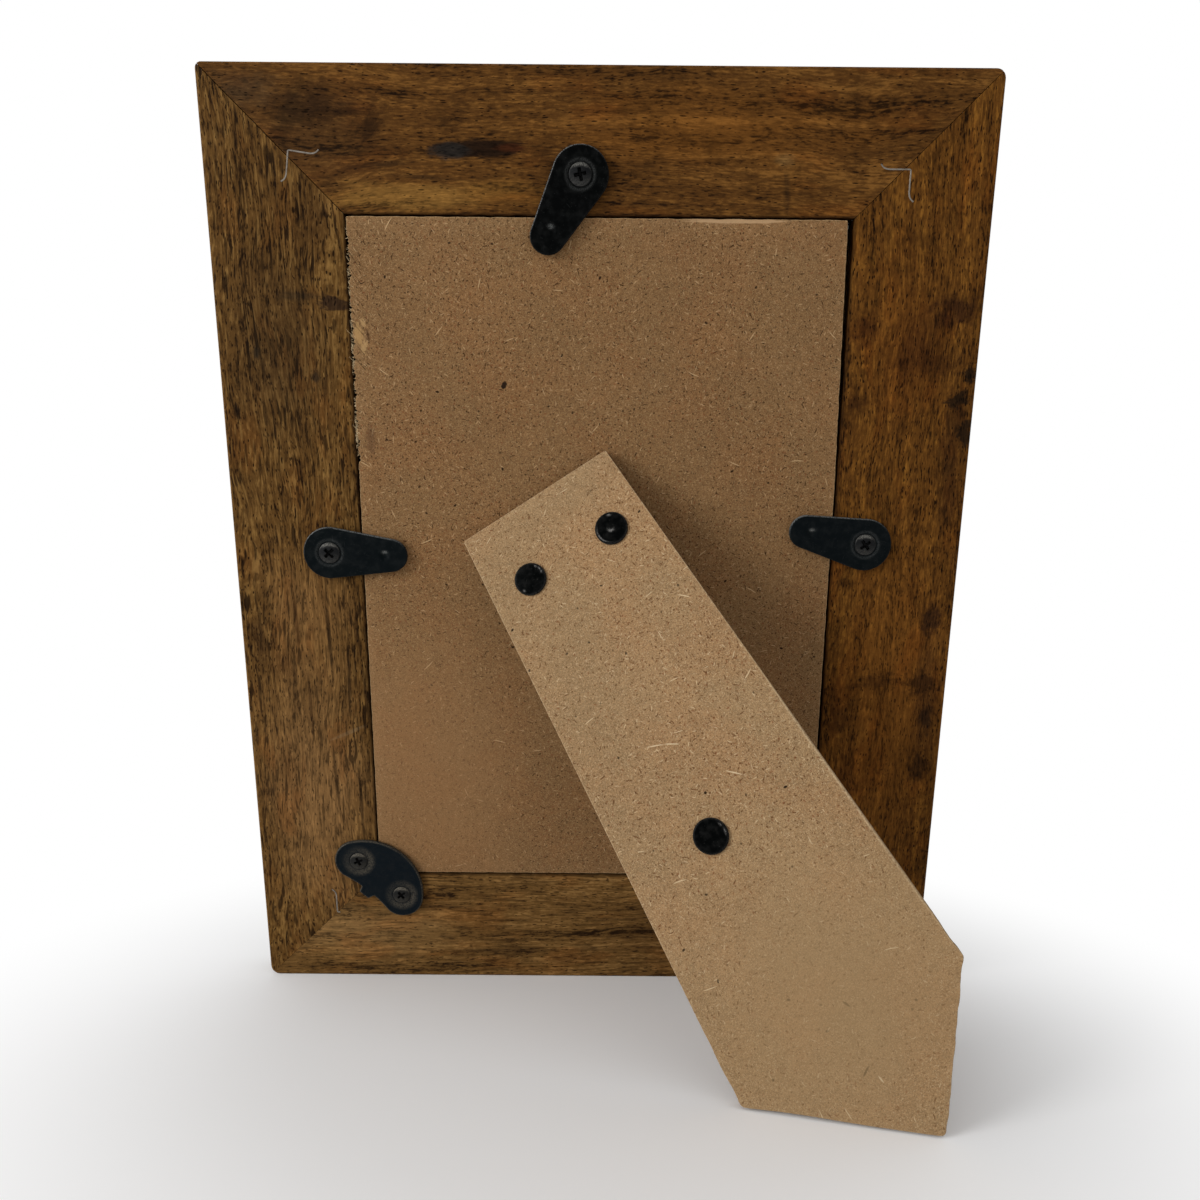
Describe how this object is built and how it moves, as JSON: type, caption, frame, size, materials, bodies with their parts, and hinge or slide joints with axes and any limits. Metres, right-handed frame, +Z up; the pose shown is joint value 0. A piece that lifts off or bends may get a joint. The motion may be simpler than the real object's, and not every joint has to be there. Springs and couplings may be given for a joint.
{
  "type": "wooden picture frame",
  "caption": "Mitred wooden picture frame that leans on a folding fibreboard back leg, its back board held in by steel turn buttons.",
  "frame": {"origin": "on the ground under the standing frame, in the middle of the box that it fills", "axes": "+Z up, the picture faces -Y, the back and the leg face +Y, +X to the left as seen from behind"},
  "size_m": [0.2, 0.1044, 0.2516],
  "materials": {
    "walnut_stain": "dark walnut stain, satin",
    "fibreboard": "bare medium-density fibreboard",
    "leg_fibreboard": "bare medium-density fibreboard, paler",
    "black_steel": "black, semi-gloss",
    "screw_steel": "blackened",
    "bare_steel": "bare",
    "hinge_steel": "zinc plated",
    "clear_glass": "clear",
    "plain_paper": "plain uncoated paper"
  },
  "bodies": {
    "frame_body": {"bottom_rail": "walnut_stain", "right_rail": "walnut_stain", "top_rail": "walnut_stain", "left_rail": "walnut_stain", "glass": "clear_glass", "picture_sheet": "plain_paper", "back_board": "fibreboard", "pivot_screw_top": "screw_steel", "pivot_screw_left": "screw_steel", "pivot_screw_right": "screw_steel", "corner_plate_left": "black_steel", "corner_plate_right": "black_steel", "plate_screw_left_outer": "screw_steel", "plate_screw_left_inner": "screw_steel", "plate_screw_right_outer": "screw_steel", "plate_screw_right_inner": "screw_steel", "v_nail_top_left": "bare_steel", "v_nail_top_right": "bare_steel", "v_nail_bottom_left": "bare_steel", "v_nail_bottom_right": "bare_steel", "hinge_leaf_board": "hinge_steel", "hinge_pin": "bare_steel", "board_rivet_left": "bare_steel", "board_rivet_right": "bare_steel"},
    "folding_leg": {"leg": "leg_fibreboard", "hinge_leaf_leg": "hinge_steel", "leg_rivet_left": "black_steel", "leg_rivet_right": "black_steel", "leg_rivet_middle": "black_steel"},
    "top_button": {"turn_button_top": "black_steel"},
    "left_button": {"turn_button_left": "black_steel"},
    "right_button": {"turn_button_right": "black_steel"}
  },
  "joints": [
    {"name": "leg_fold", "type": "hinge", "parent": "frame_body", "child": "folding_leg", "pos_m": [0.0116, -0.00067, 0.13811], "axis": [-0.8377, 0.133, 0.5296], "range_deg": [0, 28]},
    {"name": "top_button_turn", "type": "hinge", "parent": "frame_body", "child": "top_button", "pos_m": [0.0049, 0.01899, 0.22339], "axis": [0, 0.9699, -0.2436], "continuous": true},
    {"name": "left_button_turn", "type": "hinge", "parent": "frame_body", "child": "left_button", "pos_m": [0.0735, -0.00464, 0.12931], "axis": [0, 0.9699, -0.2436], "continuous": true},
    {"name": "right_button_turn", "type": "hinge", "parent": "frame_body", "child": "right_button", "pos_m": [-0.0734, -0.00381, 0.13261], "axis": [0, 0.9699, -0.2436], "continuous": true}
  ]
}
